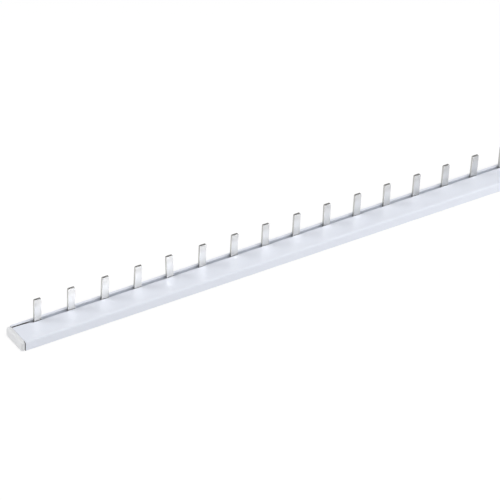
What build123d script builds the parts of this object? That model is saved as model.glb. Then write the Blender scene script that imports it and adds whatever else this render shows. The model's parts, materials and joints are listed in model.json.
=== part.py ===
from build123d import *

import os
from math import radians, tan

# A single-pole comb busbar of the pin type, in millimetres: a stamped copper comb lies in a slotted
# plastic profile with a cap pressed into each end. X runs along the bar, the lid's front edge faces -Y,
# and the pins stand up along +Z. The origin is the middle of the underside.

# Copper comb
pin_count = 18
pitch = 17.8  # one module of the devices that the bar feeds
strip_thickness = 1.2
strip_width = 9.5  # flat part, from its front edge to the start of the bends
bend_radius = 0.8  # inside of each pin's bend
pin_width = 3.7
pin_height = 11.8  # free length above the lid
pin_tip_chamfer = 0.4
notch_width = 1.0  # round-ended relief cut on each side of a pin's root
notch_depth = 1.6
strip_corner_radius = 0.6
# Pins left a little out of line by handling: number from the left, and lean to the right in degrees
pin_leans = {3: 1.3, 4: 1.1, 5: -2.7, 7: 0.8, 9: 0.7, 10: -0.75, 12: -0.6, 15: 1.2}

# Insulating profile
front_wall = 1.3
rear_wall = 1.4
floor_wall = 1.5
lid_wall = 1.5
end_setback = 4.0  # how far the profile runs past the comb at each end
lip_spring_run = 2.0  # past the last pins the lid's lip springs back over this, to the next width
slot_sprung_width = 1.2
slot_end_width = 0.65
front_top_radius = 1.0
rear_top_radius = 0.4
bottom_radius = 0.3
lip_radius = 0.3
chamber_radius = 0.2

# Clearances
strip_front_gap = 0.05  # between the strip and the rounding in the chamber's front corner
bend_top_gap = 0.1  # the bends end this far below the lid
pin_front_gap = 0.3  # between the lid's lip and the pins
pin_rear_gap = 0.45  # between the pins and the rear wall
lip_run_gap = 0.6  # from the pins at each end to where the lip starts to spring back
plug_gap = 0.06
plug_end_gap = 0.5

# End caps
cap_thickness = 1.8
cap_outer_edge_radius = 0.55
cap_inner_edge_radius = 0.15
cap_front_radius = 0.7
cap_rear_radius = 1.7
cap_groove = 0.35  # shadow groove that the stop pad leaves open round the joint
stop_inset = 0.9
plug_radius = 0.5
plug_lead = 0.4

# Worked out from the sizes above
strip_length = pin_count * pitch
profile_length = strip_length + 2 * end_setback
chamber_height = strip_thickness + bend_radius + bend_top_gap
profile_height = floor_wall + chamber_height + lid_wall
slot_width = pin_front_gap + strip_thickness + pin_rear_gap
bend_reach = bend_radius + strip_thickness
strip_inset = chamber_radius + strip_front_gap
chamber_depth = strip_inset + strip_width + bend_reach + pin_rear_gap
profile_depth = front_wall + chamber_depth + rear_wall
front_face = -profile_depth / 2
chamber_front = front_face + front_wall
chamber_rear = chamber_front + chamber_depth
slot_front = chamber_rear - slot_width
strip_front = chamber_front + strip_inset
strip_rear = strip_front + strip_width
bend_top = floor_wall + strip_thickness + bend_radius
lid_underside = floor_wall + chamber_height
first_pin = (1 - pin_count) * pitch / 2
plug_length = end_setback - plug_end_gap


def rounded_rectangle(low, high, radii):
    """A rectangle in the section plane, from its front bottom to its rear top corner.

    radii goes round its corners: front bottom, rear bottom, rear top, front top. 0 leaves one sharp.
    """
    (front, bottom), (rear, top) = low, high
    corners = (front, bottom), (rear, bottom), (rear, top), (front, top)
    shape = make_face(Polyline(*corners, close=True))
    for corner, radius in zip(corners, radii):
        if radius:
            shape = fillet(shape.vertices().sort_by_distance((*corner, 0))[0], radius)
    return shape


def block_along_bar(start, length, section):
    """A section in the YZ plane, drawn out along X from start."""
    return extrude(Plane.YZ.offset(start) * section, length)


def profile_section(opening):
    """The profile's section, with its slot open by the width given."""
    shell = rounded_rectangle(
        (front_face, 0),
        (-front_face, profile_height),
        (bottom_radius, bottom_radius, rear_top_radius, front_top_radius),
    )
    chamber = rounded_rectangle(
        (chamber_front, floor_wall),
        (chamber_rear, lid_underside),
        (chamber_radius, chamber_radius, 0, chamber_radius),
    )
    slot = rounded_rectangle(
        (chamber_rear - opening, lid_underside), (chamber_rear, profile_height), (0,) * 4
    )
    section = shell - (chamber + slot)
    lips = (
        (chamber_rear - opening, lid_underside),
        (chamber_rear - opening, profile_height),
        (chamber_rear, profile_height),
    )
    for lip in lips:
        section = fillet(section.vertices().sort_by_distance((*lip, 0))[0], lip_radius)
    return section


def make_profile():
    """One extruded length with a flat chamber and a slot, whose lip closes in past the last pins."""
    half_run = -first_pin + pin_width / 2 + lip_run_gap
    profile = block_along_bar(-half_run, 2 * half_run, profile_section(slot_width))
    stations = (
        (half_run, slot_width),
        (half_run + lip_spring_run, slot_sprung_width),
        (profile_length / 2, slot_end_width),
    )
    for side in (-1, 1):
        rings = [Plane.YZ.offset(side * x) * profile_section(opening) for x, opening in stations]
        profile += loft(rings, ruled=True)
    return profile


def make_pin(lean):
    """A pin and its bend, standing on the strip's rear edge at X = 0. lean is in degrees."""
    tip = profile_height + pin_height
    half = pin_width / 2
    shift = (tip - bend_top) * tan(radians(lean))
    blade_outline = Polyline(
        (-half, bend_top),
        (half, bend_top),
        (half + shift, tip - pin_tip_chamfer),
        (half - pin_tip_chamfer + shift, tip),
        (pin_tip_chamfer - half + shift, tip),
        (shift - half, tip - pin_tip_chamfer),
        close=True,
    )
    back = Plane.XZ.offset(-strip_rear - bend_reach)
    blade = extrude(back * make_face(blade_outline), strip_thickness)
    bend_end = Plane.XY.offset(bend_top) * Pos(0, strip_rear + bend_radius + strip_thickness / 2)
    bend_axis = Axis((0, strip_rear, bend_top), (1, 0, 0))
    bend = revolve(bend_end * Rectangle(pin_width, strip_thickness), bend_axis, -90)
    return blade + bend


def make_comb():
    """One stamping: a flat strip with pins bent up from its rear edge and relief cuts beside them."""
    strip = Pos(0, strip_front, floor_wall) * Box(
        strip_length, strip_width, strip_thickness, align=(Align.CENTER, Align.MIN, Align.MIN)
    )
    strip = fillet(strip.edges().filter_by(Axis.Z), strip_corner_radius)
    notch = Pos(0, strip_rear, floor_wall) * extrude(
        SlotCenterToCenter(2 * notch_depth - notch_width, notch_width, rotation=90), strip_thickness
    )
    pins, notches = [], []
    for number in range(1, pin_count + 1):
        x = first_pin + (number - 1) * pitch
        pins.append(Pos(x, 0, 0) * make_pin(pin_leans.get(number, 0)))
        for side in (-1, 1):
            notches.append(Pos(x + side * (pin_width + notch_width) / 2, 0, 0) * notch)
    return (strip - notches) + pins


def make_left_cap():
    """A moulded plate flush with the profile, a stop pad behind it and a plug for the chamber."""
    joint = -profile_length / 2
    inner_face = joint - cap_groove
    plate_outline = rounded_rectangle(
        (front_face, 0),
        (-front_face, profile_height),
        (cap_front_radius, cap_rear_radius, cap_rear_radius, cap_front_radius),
    )
    plate = block_along_bar(inner_face - cap_thickness, cap_thickness, plate_outline)
    plate = fillet(plate.faces().sort_by(Axis.X)[0].edges(), cap_outer_edge_radius)
    plate = fillet(plate.faces().sort_by(Axis.X)[-1].edges(), cap_inner_edge_radius)
    pad_outline = rounded_rectangle(
        (front_face + stop_inset, stop_inset),
        (-front_face - stop_inset, profile_height - stop_inset),
        (bottom_radius, cap_rear_radius - stop_inset, cap_rear_radius - stop_inset, bottom_radius),
    )
    pad = block_along_bar(inner_face, cap_groove, pad_outline)
    plug_outline = rounded_rectangle(
        (chamber_front + plug_gap, floor_wall + plug_gap),
        (chamber_rear - plug_gap, lid_underside - plug_gap),
        (plug_radius,) * 4,
    )
    plug = block_along_bar(joint, plug_length, plug_outline)
    plug = chamfer(plug.faces().sort_by(Axis.X)[-1].edges(), plug_lead)
    return plate + pad + plug


def make_parts():
    left_cap = make_left_cap()
    return {
        "insulating_profile": make_profile(),
        "copper_comb": make_comb(),
        "left_end_cap": left_cap,
        "right_end_cap": mirror(left_cap, Plane.YZ),
    }


os.makedirs("parts", exist_ok=True)
for name, part in make_parts().items():
    export_step(part, f"parts/{name}.step")
    size = part.bounding_box().size
    print(f"{name}: {size.X:.2f} x {size.Y:.2f} x {size.Z:.2f} mm, {part.volume:.0f} mm3")
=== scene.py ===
import json
import math

import bmesh
import bpy
import numpy as np
from mathutils import Matrix, Vector

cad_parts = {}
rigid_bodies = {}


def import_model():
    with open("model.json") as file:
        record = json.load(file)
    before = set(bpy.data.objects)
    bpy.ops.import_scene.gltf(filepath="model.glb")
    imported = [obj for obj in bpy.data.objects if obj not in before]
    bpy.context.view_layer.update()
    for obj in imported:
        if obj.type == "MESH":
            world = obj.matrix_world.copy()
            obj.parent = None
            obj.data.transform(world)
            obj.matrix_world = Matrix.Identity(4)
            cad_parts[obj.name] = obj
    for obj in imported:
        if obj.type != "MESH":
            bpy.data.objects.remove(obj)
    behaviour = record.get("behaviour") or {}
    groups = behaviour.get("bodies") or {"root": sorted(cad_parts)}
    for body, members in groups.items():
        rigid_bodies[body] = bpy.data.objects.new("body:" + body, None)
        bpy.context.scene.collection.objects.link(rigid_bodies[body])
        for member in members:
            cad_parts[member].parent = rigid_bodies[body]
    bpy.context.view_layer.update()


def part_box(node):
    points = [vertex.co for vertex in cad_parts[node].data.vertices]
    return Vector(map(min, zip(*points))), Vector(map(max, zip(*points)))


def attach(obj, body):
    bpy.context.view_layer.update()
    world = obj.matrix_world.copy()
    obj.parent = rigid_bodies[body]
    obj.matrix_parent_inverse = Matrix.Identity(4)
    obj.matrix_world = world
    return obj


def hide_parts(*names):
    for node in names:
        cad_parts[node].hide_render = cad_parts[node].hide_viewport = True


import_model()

# A single-pole comb busbar: a tinned copper comb in a slotted PVC profile with a cap in each end.
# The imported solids' boxes place every piece. X runs along the bar, its closed front edge faces -Y.
# Lengths are in millimetres, angles in degrees and lamp powers in watts, unless a note says otherwise.
mm = 0.001
profileBox = [np.array(corner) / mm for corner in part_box("insulating_profile")]
combBox = [np.array(corner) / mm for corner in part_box("copper_comb")]
capBox = [np.array(corner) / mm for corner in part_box("left_end_cap")]
print("frame loaded: profile", profileBox, "comb", combBox)


# Small helpers

# An sRGB hex colour by the sRGB curve: a straight line near black, and a power of 2.4 above it.
def linearColour(hexCode):
    srgb = np.array([int(hexCode[i:i + 2], 16) / 255 for i in (1, 3, 5)])
    linear = np.where(srgb <= 0.04045, srgb / 12.92, ((srgb + 0.055) / 1.055) ** 2.4)
    return (*linear.tolist(), 1.0)


# The one way that a node is made here. A colour Mix has its colours at inputs 6 and 7, its share at
# input 0 and its result at output 2.
def addNode(tree, kind, settings=None, values=None, links=None):
    node = tree.nodes.new(kind)
    for name, value in (settings or {}).items():
        setattr(node, name, value)
    for name, value in (values or {}).items():
        node.inputs[name].default_value = value
    for name, output in (links or {}).items():
        tree.links.new(output, node.inputs[name])
    return node


def newMaterial(name):
    material = bpy.data.materials.new(name)
    material.use_nodes = True
    material.node_tree.nodes.clear()
    return material, material.node_tree


# A piece at the origin with its place in its mesh, from points in millimetres. It takes the place of
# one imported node.
def meshPiece(name, points, faces, materials, nodeName):
    mesh = bpy.data.meshes.new(name)
    mesh.from_pydata((np.asarray(points) * mm).tolist(), [], faces)
    piece = bpy.data.objects.new(name, mesh)
    bpy.context.scene.collection.objects.link(piece)
    for material in materials:
        mesh.materials.append(material)
    weldAndTurnOut(mesh)
    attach(piece, "root")
    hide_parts(nodeName)
    return piece


# Merges the doubles first, then turns the faces outwards.
def weldAndTurnOut(mesh, weldMm=0.001):
    build = bmesh.new()
    build.from_mesh(mesh)
    bmesh.ops.remove_doubles(build, verts=build.verts, dist=weldMm * mm)
    bmesh.ops.recalc_face_normals(build, faces=build.faces)
    build.to_mesh(mesh)
    build.free()
    mesh.polygons.foreach_set("use_smooth", [True] * len(mesh.polygons))


def addModifier(piece, kind, **settings):
    modifier = piece.modifiers.new(kind.title(), kind)
    for name, value in settings.items():
        setattr(modifier, name, value)


# Edges sharper than the angle stay crisp, and flat faces keep a flat shade up to their rounded edges.
def shadePlastic(piece, sharpAngle=35):
    piece.data.set_sharp_from_angle(angle=math.radians(sharpAngle))
    addModifier(piece, "WEIGHTED_NORMAL", weight=100, keep_sharp=True)


# A closed outline in the section plane. corners is (stations, corners, 2), as Y and Z. Each corner
# becomes an arc whose centre lies on the bisector, its radius over the sine of the half turn from the
# corner, and whose ends touch the two sides. A point of the arc is the centre plus the spokes to both
# ends, each times the sine of the sweep on the point's far side from it, over the sine of the whole
# sweep. radii is one row for all the stations, or a row for each.
def roundedLoops(corners, radii, arcSteps):
    radii = np.broadcast_to(radii, corners.shape[:2])[..., None]
    before = np.roll(corners, 1, axis=1) - corners
    after = np.roll(corners, -1, axis=1) - corners
    before /= np.linalg.norm(before, axis=2, keepdims=True)
    after /= np.linalg.norm(after, axis=2, keepdims=True)
    halfTurn = np.arccos(np.clip((before * after).sum(axis=2, keepdims=True), -1, 1)) / 2
    bisector = before + after
    bisector /= np.linalg.norm(bisector, axis=2, keepdims=True)
    centre = corners + bisector * radii / np.sin(halfTurn)
    start = corners + before * radii / np.tan(halfTurn) - centre
    end = corners + after * radii / np.tan(halfTurn) - centre
    t = np.linspace(0, 1, arcSteps + 1)[None, None, :, None]
    sweep = np.pi - 2 * halfTurn[:, :, None]
    spoke = np.sin((1 - t) * sweep) * start[:, :, None] + np.sin(t * sweep) * end[:, :, None]
    return (centre[:, :, None] + spoke / np.sin(sweep)).reshape(len(corners), -1, 2)


# Loops of Y and Z, one per station along X, joined by quads, with a flat face at each end.
def skinLoops(stations, loops):
    count, around = loops.shape[:2]
    x = np.repeat(np.asarray(stations, float)[:, None], around, axis=1)[..., None]
    points = np.concatenate([x, loops], axis=2).reshape(-1, 3)
    index = np.arange(count * around).reshape(count, around)
    turned = np.roll(index, -1, axis=1)
    quads = np.stack([index[:-1], index[1:], turned[1:], turned[:-1]], axis=2).reshape(-1, 4)
    faces = quads.tolist() + [index[0].tolist(), index[-1][::-1].tolist()]
    return points, faces


# Where shade is painted into joints and narrow gaps: 1 inside every limit, 0 outside any. A limit
# is an axis and two distances from the bar's middle along it, and its share rises in a smooth step
# from the first to the second, which may lie either way. The mask is the product of the shares.
def paintedShadeMask(tree, coords, limits):
    shares = []
    for axis, fromMm, toMm in limits:
        place = addNode(tree, "ShaderNodeSeparateXYZ", links={"Vector": coords}).outputs[axis]
        distance = addNode(tree, "ShaderNodeMath", settings={"operation": "ABSOLUTE"}, links={0: place})
        share = addNode(
            tree, "ShaderNodeMapRange", settings={"interpolation_type": "SMOOTHSTEP"},
            values={"From Min": fromMm * mm, "From Max": toMm * mm},
            links={"Value": distance.outputs[0]},
        )
        shares.append(share.outputs[0])
    mask = shares[0]
    for share in shares[1:]:
        both = addNode(
            tree, "ShaderNodeMath", settings={"operation": "MULTIPLY"}, links={0: mask, 1: share},
        )
        mask = both.outputs[0]
    return mask


# The copper comb

comb = {
    "pinCount": 18,
    "pitch": 17.8,
    "thickness": 1.2,
    "bendRadius": 0.8,
    "pinWidth": 3.7,
    "tipChamfer": 0.3,
    "notchWidth": 1.0,
    "notchDepth": 1.6,
    "cornerRadius": 0.6,
    # pins left a little out of line by handling: number from the left, and lean to the right
    "leans": {3: 1.3, 4: 1.1, 5: -3.2, 7: 0.8, 9: 0.7, 10: -0.75, 12: -0.6, 15: 1.2},
    "tiltSpread": 0.35,  # the most that a pin leans to the front or the rear
    "twistSpread": 0.35,  # the most that a pin's tip is turned about its length
    "spreadSeed": 7,
    "tipDrop": 0.015,  # keeps the twisted tips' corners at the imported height
    "edgeRounding": 0.14,
    "edgeSegments": 3,
    "edgeFrom": 40,  # edges that turn by more than this are rounded
    "notchSteps": 8,
    "cornerSteps": 6,
    "bendSteps": 8,
    "bladeSteps": 6,
    "pinColumns": 5,
    "stripRows": 4,
}
pinX = (np.arange(comb["pinCount"]) - (comb["pinCount"] - 1) / 2) * comb["pitch"]


# Copper strip, rolled, then tin plated: a soft silver mirror. The rolling lines run along the strip,
# so reflections are smeared across them, which is up and down on a pin.
def makeTinPlate(name, colour, roughness, lineMm, smear):
    look = {
        "colour": colour,
        "roughness": roughness,
        "roughnessLess": 0.02,
        "roughnessMore": 0.03,
        "roughnessLevels": (0.3, 0.7),  # of the stains' noise, from the least to the most rough
        "lineMm": lineMm,  # coarser than the real lines, to show from close up
        "lineLengthMm": 6.0,
        "lineDepthMm": 0.002,
        "lineStrength": 0.3,
        "smear": smear,  # anisotropy
        "stainColour": "#BFBDB9",
        "stainMm": 3.5,
        "stainLevels": (0.45, 0.75),  # of the noise, from no stain to the full amount
        "stainAmount": 0.25,
        "rootShadeColour": "#A9A9A8",  # painted shade: the pin darker near its foot, where it reflects the lid in its shadow, fading out up the pin
        "rootFromMm": 5.0,  # heights are above the bar's underside
        "rootToMm": 11.0,
        "rootAmount": 0.6,
        "tipShadeColour": "#B4B4B3",  # painted shade: the pin darker near its tip, where it reflects the floor in the bar's shadow
        "tipFromMm": 12.0,
        "tipToMm": 15.0,
        "tipAmount": 0.55,
    }
    material, tree = newMaterial(name)
    coords = addNode(tree, "ShaderNodeTexCoord").outputs["Object"]
    along = 1 / (look["lineLengthMm"] * mm)
    across = 1 / (look["lineMm"] * mm)
    stretched = addNode(
        tree, "ShaderNodeMapping", values={"Scale": (along, across, across)}, links={"Vector": coords},
    )
    lines = addNode(
        tree, "ShaderNodeTexNoise", values={"Scale": 1.0, "Detail": 4.0, "Roughness": 0.65},
        links={"Vector": stretched.outputs[0]},
    )
    stains = addNode(
        tree, "ShaderNodeTexNoise",
        values={"Scale": 1 / (look["stainMm"] * mm), "Detail": 4.0, "Roughness": 0.6},
        links={"Vector": coords},
    )
    stained = addNode(
        tree, "ShaderNodeMapRange",
        values={
            "From Min": look["stainLevels"][0],
            "From Max": look["stainLevels"][1],
            "To Max": look["stainAmount"],
        },
        links={"Value": stains.outputs[0]},
    )
    withStains = addNode(
        tree, "ShaderNodeMix", settings={"data_type": "RGBA"},
        values={6: linearColour(look["colour"]), 7: linearColour(look["stainColour"])},
        links={0: stained.outputs[0]},
    )
    height = addNode(tree, "ShaderNodeSeparateXYZ", links={"Vector": coords}).outputs["Z"]
    # painted shade, darker towards the pin's foot
    footShadeShare = addNode(
        tree, "ShaderNodeMapRange", settings={"interpolation_type": "SMOOTHSTEP"},
        values={
            "From Min": look["rootFromMm"] * mm,
            "From Max": look["rootToMm"] * mm,
            "To Min": look["rootAmount"],
            "To Max": 0.0,
        },
        links={"Value": height},
    )
    withRoot = addNode(
        tree, "ShaderNodeMix", settings={"data_type": "RGBA"},
        values={7: linearColour(look["rootShadeColour"])},
        links={0: footShadeShare.outputs[0], 6: withStains.outputs[2]},
    )
    # painted shade, darker towards the pin's tip
    topShadeShare = addNode(
        tree, "ShaderNodeMapRange", settings={"interpolation_type": "SMOOTHSTEP"},
        values={
            "From Min": look["tipFromMm"] * mm,
            "From Max": look["tipToMm"] * mm,
            "To Max": look["tipAmount"],
        },
        links={"Value": height},
    )
    withTip = addNode(
        tree, "ShaderNodeMix", settings={"data_type": "RGBA"},
        values={7: linearColour(look["tipShadeColour"])},
        links={0: topShadeShare.outputs[0], 6: withRoot.outputs[2]},
    )
    uneven = addNode(
        tree, "ShaderNodeMapRange",
        values={
            "From Min": look["roughnessLevels"][0],
            "From Max": look["roughnessLevels"][1],
            "To Min": look["roughness"] - look["roughnessLess"],
            "To Max": look["roughness"] + look["roughnessMore"],
        },
        links={"Value": stains.outputs[0]},
    )
    bump = addNode(
        tree, "ShaderNodeBump",
        values={"Strength": look["lineStrength"], "Distance": look["lineDepthMm"] * mm},
        links={"Height": lines.outputs[0]},
    )
    acrossGrain = addNode(tree, "ShaderNodeCombineXYZ", values={"X": 0.0, "Y": 1.0, "Z": 1.0})
    shader = addNode(
        tree, "ShaderNodeBsdfPrincipled", values={"Metallic": 1.0, "Anisotropic": look["smear"]},
        links={
            "Base Color": withTip.outputs[2],
            "Roughness": uneven.outputs[0],
            "Normal": bump.outputs[0],
            "Tangent": acrossGrain.outputs[0],
        },
    )
    addNode(tree, "ShaderNodeOutputMaterial", links={"Surface": shader.outputs[0]})
    return material


# the rolled faces, and the edges that the stamping die left
tinPlate = makeTinPlate("tinPlate", colour="#CFD0D2", roughness=0.34, lineMm=0.12, smear=0.7)
shearedTin = makeTinPlate("shearedTin", colour="#BEBDBA", roughness=0.40, lineMm=0.05, smear=0.0)
print("tin plate made")


# The quads of a grid of points that are numbered row by row from first.
def gridFaces(rows, columns, first):
    index = first + np.arange(rows * columns).reshape(rows, columns)
    quads = np.stack([index[:-1, :-1], index[:-1, 1:], index[1:, 1:], index[1:, :-1]], axis=2)
    return quads.reshape(-1, 4).tolist()


# Turns an open sheet over if its faces look away from the direction given, summed over their areas.
def flipToward(mesh, direction):
    total = sum((p.normal * p.area for p in mesh.polygons), Vector())
    if total.dot(direction) < 0:
        mesh.flip_normals()


# The copper comb: one flat blank, bent. The surface is the side inside the bends, and Solidify gives
# it the strip's thickness behind. Along a pin it runs level, then round a quarter circle of the bend
# radius, then straight up to the tip. Above the bend the pin's points move along the bar by their
# height times the tangent of its lean, and back by their height times the tangent of its tilt. Its
# twist moves them back by their distance from its middle line, times the tangent of the twist, times
# the share of the pin's height that they have reached.
def makeComb():
    low, high = combBox
    thickness = comb["thickness"]
    bend = comb["bendRadius"]
    stripFront = low[1]
    stripRear = high[1] - thickness - bend
    stripTop = low[2] + thickness
    bendTop = stripTop + bend
    tip = high[2] - comb["tipDrop"]
    width = stripRear - stripFront
    half = comb["pinWidth"] / 2
    notch = comb["notchWidth"] / 2
    corner = comb["cornerRadius"]
    root = width - comb["notchDepth"] + notch  # where the notches' round ends meet their sides
    rows, columns = comb["stripRows"], comb["pinColumns"]
    patches = []

    def level(x, v):
        return np.stack([x, stripFront + v, np.full_like(v, stripTop)], axis=-1)

    # one pitch of the strip's rear line: a half circle dips in at each notch, the rest is straight
    turn = np.linspace(np.pi, 0, comb["notchSteps"] + 1)
    arcX = notch * np.cos(turn)
    arcV = root - notch * np.sin(turn)
    middle = np.linspace(-half, half, columns)[1:-1]
    cellX = np.concatenate([arcX - half - notch, middle, arcX + half + notch])
    cellV = np.concatenate([arcV, np.full(len(middle), root), arcV])
    endTurn = np.linspace(0, np.pi / 2, comb["cornerSteps"] + 1)
    endX = low[0] + corner * (1 - np.cos(endTurn))
    endIn = corner * (1 - np.sin(endTurn))
    straightEnd = np.full(len(endX), root)
    x = np.concatenate([endX, (pinX[:, None] + cellX).ravel(), -endX[::-1]])
    rearLine = np.concatenate([straightEnd, np.tile(cellV, len(pinX)), straightEnd])
    frontLine = np.concatenate([endIn, np.zeros(len(x) - 2 * len(endX)), endIn[::-1]])
    share = np.linspace(0, 1, rows)[:, None]
    patches.append(level(np.repeat(x[None], rows, axis=0), frontLine + share * (rearLine - frontLine)))

    # the strip's tongues behind that line, between the notches
    side = half + 2 * notch
    for left, right in zip(pinX[:-1] + side, pinX[1:] - side):
        spot = np.array([[left, right], [left, right]])
        patches.append(level(spot, np.array([[root, root], [width, width]])))
    endTongueX = np.append(endX, pinX[0] - side)
    endTongueRear = width - np.append(endIn, 0)
    for sign in (1, -1):
        spot = np.repeat(sign * endTongueX[None], 2, axis=0)
        patches.append(level(spot, np.stack([np.full(len(endTongueX), root), endTongueRear])))

    # the pins, each a little out of true in its own way
    spread = np.random.default_rng(comb["spreadSeed"]).uniform(-1, 1, (comb["pinCount"], 2))
    angle = np.linspace(0, np.pi / 2, comb["bendSteps"] + 1)[1:]
    rise = np.linspace(bendTop, tip - comb["tipChamfer"], comb["bladeSteps"] + 1)[1:]
    rise = np.append(rise, tip)
    blade = np.full(len(rise), stripRear + bend)
    y = np.concatenate([[stripFront + root, stripRear], stripRear + bend * np.sin(angle), blade])
    z = np.concatenate([[stripTop, stripTop], bendTop - bend * np.cos(angle), rise])
    halfWidth = np.full(len(z), half)
    halfWidth[-1] = half - comb["tipChamfer"]
    offset = halfWidth[:, None] * np.linspace(-1, 1, columns)
    above = np.clip(z - bendTop, 0, None)[:, None]
    height = np.repeat(z[:, None], columns, axis=1)
    for number, (x0, (tilt, twist)) in enumerate(zip(pinX, spread), start=1):
        lean = math.tan(math.radians(comb["leans"].get(number, 0)))
        back = above * math.tan(math.radians(comb["tiltSpread"] * tilt))
        turned = math.tan(math.radians(comb["twistSpread"] * twist))
        swing = offset * above / (tip - bendTop) * turned
        across = x0 + offset + above * lean
        patches.append(np.stack([across, y[:, None] + back + swing, height], axis=-1))

    points, faces = [], []
    for patch in patches:
        faces += gridFaces(*patch.shape[:2], sum(len(p) for p in points))
        points.append(patch.reshape(-1, 3))
    materials = [tinPlate, shearedTin]
    piece = meshPiece("stampedComb", np.concatenate(points), faces, materials, "copper_comb")
    flipToward(piece.data, Vector((0, -1, 1)))
    addModifier(
        piece, "SOLIDIFY", thickness=thickness * mm, offset=-1.0, use_even_offset=True,
        material_offset_rim=1,
    )
    addModifier(
        piece, "BEVEL", width=comb["edgeRounding"] * mm, segments=comb["edgeSegments"],
        limit_method="ANGLE", angle_limit=math.radians(comb["edgeFrom"]), harden_normals=True,
    )


makeComb()
print("comb made")


# The insulating profile

profile = {
    "frontWall": 1.3,
    "rearWall": 1.4,
    "floorWall": 1.5,
    "lidWall": 1.5,
    "slotWidth": 2.05,
    "slotEndWidth": 0.85,
    "heldBeyondPins": 0.6,
    "lipSpringRun": 2.3,  # past the last pins the lip's gap to the end width shrinks to 1/e over this
    "springStations": 12,
    "radii": {
        "bottom": 0.3, "rearTop": 0.15, "frontTop": 1.0, "rearLip": 0.12, "lidLip": 0.08, "chamber": 0.2,
    },
    "arcSteps": 8,
    "stationsPerPitch": 8,
    "lipRelax": 0.07,  # the lip closes in by this midway between two pins
}
# the pins keep the slot open as far as this
heldTo = pinX[-1] + comb["pinWidth"] / 2 + profile["heldBeyondPins"]


# Rigid PVC, extruded: pale, cool white, a satin gloss with faint lines left by the die along the
# bar. Shade is painted dark on the sawn ends in the joints, and in the narrow ends of the slot.
def makeExtrudedPvc():
    look = {
        "colour": "#ECF0F9",
        "tintColour": "#E9EDF7",
        "tintMm": 18.0,
        "ior": 1.53,
        "roughness": 0.34,
        "roughnessSpread": 0.05,
        "dieLineMm": 0.25,  # coarser than the real ones, to show from close up
        "dieLineLengthMm": 60.0,
        "dieLineDepthMm": 0.004,
        "dieLineStrength": 0.25,
        # painted shade for the joints and the slot's narrow ends, which lie in shadow
        "paintedShadeColour": "#6B6864",
        "sawnEndMm": 0.02,  # the painted shade on a sawn end reaches this far in
        "jointRimMm": 0.55,  # the painted shade in the joint stops this far down from the lid
        "rimFadeMm": 0.1,
        "slotShadeAlongMm": (154.0, 157.0),  # from the bar's middle
        "slotShadeBelowLidMm": (0.05, 0.25),  # keeps the painted shade off the lid
        "slotShadeAboveBaseMm": (0.1, 0.2),  # keeps the painted shade off the underside
        "slotShadeInsideMm": (1.05, 1.2),  # from the front and rear faces, and keeps the painted shade off both
    }
    material, tree = newMaterial("extrudedPvc")
    coords = addNode(tree, "ShaderNodeTexCoord").outputs["Object"]
    along = 1 / (look["dieLineLengthMm"] * mm)
    across = 1 / (look["dieLineMm"] * mm)
    stretched = addNode(
        tree, "ShaderNodeMapping", values={"Scale": (along, across, across)}, links={"Vector": coords},
    )
    dieLines = addNode(
        tree, "ShaderNodeTexNoise", values={"Scale": 1.0, "Detail": 3.0, "Roughness": 0.6},
        links={"Vector": stretched.outputs[0]},
    )
    tint = addNode(
        tree, "ShaderNodeTexNoise", values={"Scale": 1 / (look["tintMm"] * mm), "Detail": 2.0},
        links={"Vector": coords},
    )
    colour = addNode(
        tree, "ShaderNodeMix", settings={"data_type": "RGBA"},
        values={6: linearColour(look["colour"]), 7: linearColour(look["tintColour"])},
        links={0: tint.outputs[0]},
    )
    end, rear, top = profileBox[1]
    rim = top - look["jointRimMm"]
    # painted shade on the sawn ends inside the joints, and in the slot's narrow ends
    sawnEnd = paintedShadeMask(tree, coords, [
        ("X", end - 2 * look["sawnEndMm"], end - look["sawnEndMm"]),
        ("Z", rim + look["rimFadeMm"], rim),
    ])
    slotEnd = paintedShadeMask(tree, coords, [
        ("X", *look["slotShadeAlongMm"]),
        ("Z", *(top - depth for depth in look["slotShadeBelowLidMm"])),
        ("Z", *look["slotShadeAboveBaseMm"]),
        ("Y", *(rear - depth for depth in look["slotShadeInsideMm"])),
    ])
    # mixes the painted shade into the colour
    shadeShare = addNode(
        tree, "ShaderNodeMath", settings={"operation": "MAXIMUM"}, links={0: sawnEnd, 1: slotEnd},
    )
    withShade = addNode(
        tree, "ShaderNodeMix", settings={"data_type": "RGBA"},
        values={7: linearColour(look["paintedShadeColour"])}, links={0: shadeShare.outputs[0], 6: colour.outputs[2]},
    )
    roughness = addNode(
        tree, "ShaderNodeMapRange",
        values={
            "To Min": look["roughness"] - look["roughnessSpread"],
            "To Max": look["roughness"] + look["roughnessSpread"],
        },
        links={"Value": dieLines.outputs[0]},
    )
    bump = addNode(
        tree, "ShaderNodeBump",
        values={"Strength": look["dieLineStrength"], "Distance": look["dieLineDepthMm"] * mm},
        links={"Height": dieLines.outputs[0]},
    )
    shader = addNode(
        tree, "ShaderNodeBsdfPrincipled", values={"IOR": look["ior"]},
        links={
            "Base Color": withShade.outputs[2],
            "Roughness": roughness.outputs[0],
            "Normal": bump.outputs[0],
        },
    )
    addNode(tree, "ShaderNodeOutputMaterial", links={"Surface": shader.outputs[0]})
    return material


extrudedPvc = makeExtrudedPvc()
print("extruded PVC made")


# The slot's opening along X. From the full width it loses the lip's relaxing times half of one plus
# the cosine of a turn a pitch, which is none at a pin and all of it midway. Past the last pin it falls
# towards the end width, by one over e for each spring run.
def slotOpening(x):
    relax = profile["lipRelax"] * (1 + np.cos(2 * np.pi * x / comb["pitch"])) / 2
    opening = profile["slotWidth"] - relax * (np.abs(x) < pinX[-1])
    past = np.clip(np.abs(x) - heldTo, 0, None) / profile["lipSpringRun"]
    return opening - (profile["slotWidth"] - profile["slotEndWidth"]) * (1 - np.exp(-past))


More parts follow.
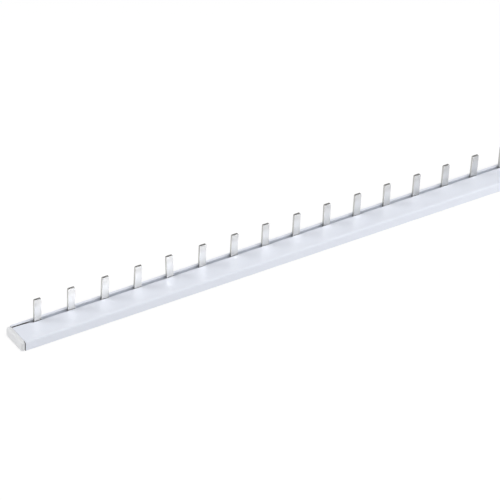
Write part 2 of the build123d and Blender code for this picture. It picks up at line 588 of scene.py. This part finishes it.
# The extrusion: one closed outline that goes round the outside, in through the slot, round the
# chamber and out again, carried along X with its lip's two corners following the slot's opening.
def makeProfile():
    end, rear, top = profileBox[1]
    front = profileBox[0][1]
    chamberFront = front + profile["frontWall"]
    chamberRear = rear - profile["rearWall"]
    floor = profile["floorWall"]
    ceiling = top - profile["lidWall"]
    radius = profile["radii"]
    middle = np.linspace(pinX[0], pinX[-1], (comb["pinCount"] - 1) * profile["stationsPerPitch"] + 1)
    springing = np.linspace(heldTo, end, profile["springStations"])
    stations = np.concatenate([-springing[::-1], middle, springing])
    slotFront = chamberRear - slotOpening(stations)
    corners = np.array([
        (front, 0), (rear, 0), (rear, top), (chamberRear, top), (chamberRear, floor),
        (chamberFront, floor), (chamberFront, ceiling), (0, ceiling), (0, top), (front, top),
    ], float)
    corners = np.repeat(corners[None], len(stations), axis=0)
    lipCorners = [7, 8]
    corners[:, lipCorners, 0] = slotFront[:, None]
    radii = [
        radius["bottom"], radius["bottom"], radius["rearTop"], radius["rearLip"], radius["chamber"],
        radius["chamber"], radius["chamber"], radius["lidLip"], radius["lidLip"], radius["frontTop"],
    ]
    points, faces = skinLoops(stations, roundedLoops(corners, radii, profile["arcSteps"]))
    piece = meshPiece("slottedProfile", points, faces, [extrudedPvc], "insulating_profile")
    shadePlastic(piece)


makeProfile()
print("profile made")


# The end caps

cap = {
    "thickness": 1.75,
    "outerEdge": 0.7,
    "innerEdge": 0.12,
    "frontRadius": 0.9,
    "rearRadius": 1.4,
    # leaves a groove round the joint
    "stopInset": {"front": 1.3, "rear": 1.3, "bottom": 1.0, "top": 0.2},
    "stopRadius": 0.3,
    "plugGap": 0.06,
    "plugRadius": 0.5,
    "plugLead": 0.4,
    "leastRadius": 0.05,
    "edgeSteps": 6,
    "innerEdgeSteps": 3,
    "cornerSteps": 10,
}


# Moulded PVC from a spark-eroded tool: neutral pale grey and matt, with a fine even grain. The
# joint's hidden faces are painted dark, as painted shade.
def makeMouldedPvc():
    look = {
        "colour": "#E6E7E9",
        "ior": 1.53,
        "roughness": 0.55,
        "roughnessSpread": 0.06,
        "grainMm": 0.6,  # coarser than the real grain, which is too fine to show
        "grainDepthMm": 0.003,
        "grainStrength": 0.15,
        # painted shade on the joint's hidden faces, which lie in shadow
        "jointShadeColour": "#77726E",
        "jointMm": 0.02,  # the painted shade stands this far off the plate's inner face
        "jointRimMm": 0.55,  # the painted shade stops this far down from the top
        "rimFadeMm": 0.1,
    }
    material, tree = newMaterial("mouldedPvc")
    coords = addNode(tree, "ShaderNodeTexCoord").outputs["Object"]
    grain = addNode(
        tree, "ShaderNodeTexNoise", values={"Scale": 1 / (look["grainMm"] * mm), "Detail": 2.0},
        links={"Vector": coords},
    )
    bump = addNode(
        tree, "ShaderNodeBump",
        values={"Strength": look["grainStrength"], "Distance": look["grainDepthMm"] * mm},
        links={"Height": grain.outputs[0]},
    )
    roughness = addNode(
        tree, "ShaderNodeMapRange",
        values={
            "To Min": look["roughness"] - look["roughnessSpread"],
            "To Max": look["roughness"] + look["roughnessSpread"],
        },
        links={"Value": grain.outputs[0]},
    )
    inner = -capBox[0][0] - cap["thickness"]
    rim = capBox[1][2] - look["jointRimMm"]
    # painted shade on the joint's hidden faces
    inside = paintedShadeMask(tree, coords, [
        ("X", inner + 2 * look["jointMm"], inner + look["jointMm"]),
        ("Z", rim + look["rimFadeMm"], rim),
    ])
    colour = addNode(
        tree, "ShaderNodeMix", settings={"data_type": "RGBA"},
        values={6: linearColour(look["colour"]), 7: linearColour(look["jointShadeColour"])},
        links={0: inside},
    )
    shader = addNode(
        tree, "ShaderNodeBsdfPrincipled", values={"IOR": look["ior"]},
        links={
            "Base Color": colour.outputs[2],
            "Roughness": roughness.outputs[0],
            "Normal": bump.outputs[0],
        },
    )
    addNode(tree, "ShaderNodeOutputMaterial", links={"Surface": shader.outputs[0]})
    return material


mouldedPvc = makeMouldedPvc()
print("moulded PVC made")


# A stack of rounded rectangles from the outer face to the plug's nose, with the stop pad between the
# plate and the plug. The plate's rims are quarter circles: as the angle goes from 0 to a quarter turn,
# X runs the radius times one minus its cosine, and the outline's inset falls from the radius to none,
# by the radius times its sine. The inner rim runs the other way.
def makeCap(name, nodeName, sign):
    joint, front = profileBox[0][:2]
    rear, top = profileBox[1][1:]
    outer = capBox[0][0]
    inner = outer + cap["thickness"]
    outerTurn = np.linspace(0, np.pi / 2, cap["edgeSteps"] + 1)
    innerTurn = np.linspace(0, np.pi / 2, cap["innerEdgeSteps"] + 1)
    rimX = np.concatenate([
        outer + cap["outerEdge"] * (1 - np.cos(outerTurn)),
        inner - cap["innerEdge"] * (1 - np.sin(innerTurn)),
    ])
    rimInset = np.concatenate([
        cap["outerEdge"] * (1 - np.sin(outerTurn)),
        cap["innerEdge"] * (1 - np.cos(innerTurn)),
    ])
    stop = cap["stopInset"]
    plugLow = np.array([front + profile["frontWall"], profile["floorWall"]]) + cap["plugGap"]
    plugHigh = np.array([rear - profile["rearWall"], top - profile["lidWall"]]) - cap["plugGap"]
    plugEnd = capBox[1][0]
    plugInset = np.array([0, 0, cap["plugLead"]])[:, None]
    x = np.concatenate([rimX, [inner, joint], [joint, plugEnd - cap["plugLead"], plugEnd]])
    low = np.concatenate([
        np.stack([front + rimInset, rimInset], axis=1),
        [[front + stop["front"], stop["bottom"]]] * 2,
        plugLow + plugInset,
    ])
    high = np.concatenate([
        np.stack([rear - rimInset, top - rimInset], axis=1),
        [[rear - stop["rear"], top - stop["top"]]] * 2,
        plugHigh - plugInset,
    ])
    lowRear = np.stack([high[:, 0], low[:, 1]], axis=1)
    highFront = np.stack([low[:, 0], high[:, 1]], axis=1)
    corners = np.stack([low, lowRear, high, highFront], axis=1)
    inward = [[cap["stopRadius"]] * 2, cap["plugRadius"] - plugInset[:, 0]]
    frontRadius = np.concatenate([cap["frontRadius"] - rimInset, *inward]).clip(cap["leastRadius"])
    rearRadius = np.concatenate([cap["rearRadius"] - rimInset, *inward]).clip(cap["leastRadius"])
    radii = np.stack([frontRadius, rearRadius, rearRadius, frontRadius], axis=1)
    points, faces = skinLoops(x, roundedLoops(corners, radii, cap["cornerSteps"]))
    points[:, 0] *= sign
    piece = meshPiece(name, points, faces, [mouldedPvc], nodeName)
    shadePlastic(piece)


makeCap("leftCap", "left_end_cap", 1)
makeCap("rightCap", "right_end_cap", -1)
print("caps made")


# The stage: camera, floor, lamps and world

camera = {
    "lens": 193.67,
    "sensorWidth": 36.0,
    "azimuth": 34.188,
    "elevation": 34.714,
    "roll": 2.807,
    "place": (-631.3, -872.65, 739.7),
    "clipFrom": 50.0,
    "clipTo": 20000.0,
}


def makeCamera():
    azimuth = math.radians(camera["azimuth"])
    elevation = math.radians(camera["elevation"])
    level = math.cos(elevation)
    forward = Vector((math.sin(azimuth) * level, math.cos(azimuth) * level, -math.sin(elevation)))
    right = Vector((math.cos(azimuth), -math.sin(azimuth), 0))
    up = right.cross(forward)
    turn = math.radians(camera["roll"])
    rolledRight = right * math.cos(turn) + up * math.sin(turn)
    rolledUp = up * math.cos(turn) - right * math.sin(turn)
    data = bpy.data.cameras.new("photoCamera")
    data.lens = camera["lens"]
    data.sensor_width = camera["sensorWidth"]
    data.clip_start = camera["clipFrom"] * mm
    data.clip_end = camera["clipTo"] * mm
    view = bpy.data.objects.new("photoCamera", data)
    bpy.context.scene.collection.objects.link(view)
    basis = Matrix((rolledRight, rolledUp, -forward)).transposed().to_4x4()
    view.matrix_world = Matrix.Translation(Vector(camera["place"]) * mm) @ basis
    bpy.context.scene.camera = view


stage = {
    "floorSize": 8000.0,
    "floorDrop": 0.1,  # keeps the floor just under the bar
    "floorColour": "#DCDCDC",
    "shadowShare": 0.35,  # how much of the floor's own shading the camera sees
    "floorSeen": 0.80,  # added for the camera, so that the floor reads as white
    "floorLift": 0.40,  # added for reflections
    "roomLight": 0.50,
    "roomSeen": 0.40,
    "horizonSeen": 0.85,
    "horizonTo": 0.1,  # the sines of the elevations between which the horizon's white fades out
    "roomFrom": 0.5,
}

shadingOnly = {"glossy": False}  # leaves no mirror image of the lamp
pinGloss = {"diffuse": False, "only": "stampedComb"}  # only a mirror image, on the comb alone
lamps = {
    "frontBox": {"place": (390, -630, 525), "size": (760, 420), "power": 0.85, **shadingOnly},
    "frontLowBox": {"place": (590, -640, 130), "size": (300, 200), "power": 1.8, **shadingOnly},
    "topBox": {"place": (60, -330, 860), "size": (700, 500), "power": 2.9, **shadingOnly},
    "rearLeftBox": {"place": (-985, 546, 945), "size": (360, 360), "power": 3.8},
    "leftBox": {"place": (-800, 70, 200), "size": (400, 400), "power": 1.1},
    "pinBox": {"place": (350, -600, 500), "size": (420, 220), "power": 1.25, **pinGloss},
    "pinCardA": {"place": (-5, -250, 75), "size": (130, 150), "power": 0.93, **pinGloss},
    "pinCardB": {"place": (155, -250, 75), "size": (110, 150), "power": 0.37, **pinGloss},
}


# A matt sheet. For the camera part of its shading gives way to an even glow, which keeps the bar's
# shadow on a white ground, and in reflections it glows a little too.
def makeFloor():
    half = stage["floorSize"] / 2 * mm
    drop = stage["floorDrop"] * mm
    mesh = bpy.data.meshes.new("floor")
    corners = [(-half, -half, -drop), (half, -half, -drop), (half, half, -drop), (-half, half, -drop)]
    mesh.from_pydata(corners, [], [(0, 1, 2, 3)])
    floor = bpy.data.objects.new("floor", mesh)
    bpy.context.scene.collection.objects.link(floor)
    material, tree = newMaterial("paleFloor")
    path = addNode(tree, "ShaderNodeLightPath")
    forGloss = addNode(
        tree, "ShaderNodeMath", settings={"operation": "MULTIPLY"},
        values={1: stage["floorLift"]}, links={0: path.outputs["Is Glossy Ray"]},
    )
    lift = addNode(
        tree, "ShaderNodeMath", settings={"operation": "MULTIPLY_ADD"},
        values={1: stage["floorSeen"]},
        links={0: path.outputs["Is Camera Ray"], 2: forGloss.outputs[0]},
    )
    ownColour = linearColour(stage["floorColour"])
    seenColour = [stage["shadowShare"] * channel for channel in ownColour[:3]] + [1.0]
    colour = addNode(
        tree, "ShaderNodeMix", settings={"data_type": "RGBA"},
        values={6: ownColour, 7: seenColour}, links={0: path.outputs["Is Camera Ray"]},
    )
    matt = addNode(tree, "ShaderNodeBsdfDiffuse", links={"Color": colour.outputs[2]})
    glow = addNode(tree, "ShaderNodeEmission", links={"Strength": lift.outputs[0]})
    both = addNode(tree, "ShaderNodeAddShader", links={0: matt.outputs[0], 1: glow.outputs[0]})
    addNode(tree, "ShaderNodeOutputMaterial", links={"Surface": both.outputs[0]})
    mesh.materials.append(material)


# Soft boxes that face the middle of the bar. One with the setting only reaches that piece alone.
def makeLamps():
    for name, lamp in lamps.items():
        data = bpy.data.lights.new(name, "AREA")
        data.shape = "RECTANGLE"
        data.size = lamp["size"][0] * mm
        data.size_y = lamp["size"][1] * mm
        data.energy = lamp["power"]
        light = bpy.data.objects.new(name, data)
        bpy.context.scene.collection.objects.link(light)
        place = Vector(lamp["place"]) * mm
        aim = (-place).to_track_quat("-Z", "Y").to_matrix().to_4x4()
        light.matrix_world = Matrix.Translation(place) @ aim
        light.visible_camera = False
        light.visible_diffuse = lamp.get("diffuse", True)
        light.visible_glossy = lamp.get("glossy", True)
        if "only" in lamp:
            lit = bpy.data.collections.new(name + "Lit")
            lit.objects.link(bpy.data.objects[lamp["only"]])
            light.light_linking.receiver_collection = lit


# A pale room: white at the horizon, for the camera and for reflections, and greyer overhead.
def makeWorld():
    world = bpy.data.worlds.new("studio")
    world.use_nodes = True
    tree = world.node_tree
    tree.nodes.clear()
    path = addNode(tree, "ShaderNodeLightPath")
    ray = addNode(tree, "ShaderNodeTexCoord").outputs["Generated"]
    height = addNode(tree, "ShaderNodeSeparateXYZ", links={"Vector": ray}).outputs["Z"]
    wall = addNode(
        tree, "ShaderNodeMapRange", settings={"interpolation_type": "SMOOTHSTEP"},
        values={
            "From Min": stage["horizonTo"],
            "From Max": stage["roomFrom"],
            "To Min": stage["horizonSeen"],
            "To Max": stage["roomSeen"],
        },
        links={"Value": height},
    )
    seen = addNode(
        tree, "ShaderNodeMath", settings={"operation": "MAXIMUM"},
        links={0: path.outputs["Is Camera Ray"], 1: path.outputs["Is Glossy Ray"]},
    )
    strength = addNode(
        tree, "ShaderNodeMix", values={2: stage["roomLight"]},
        links={0: seen.outputs[0], 3: wall.outputs[0]},
    )
    background = addNode(tree, "ShaderNodeBackground", links={"Strength": strength.outputs[0]})
    addNode(tree, "ShaderNodeOutputWorld", links={"Surface": background.outputs[0]})
    bpy.context.scene.world = world


makeCamera()
makeFloor()
makeLamps()
makeWorld()
bpy.context.scene.view_settings.view_transform = "Standard"
print("stage made")
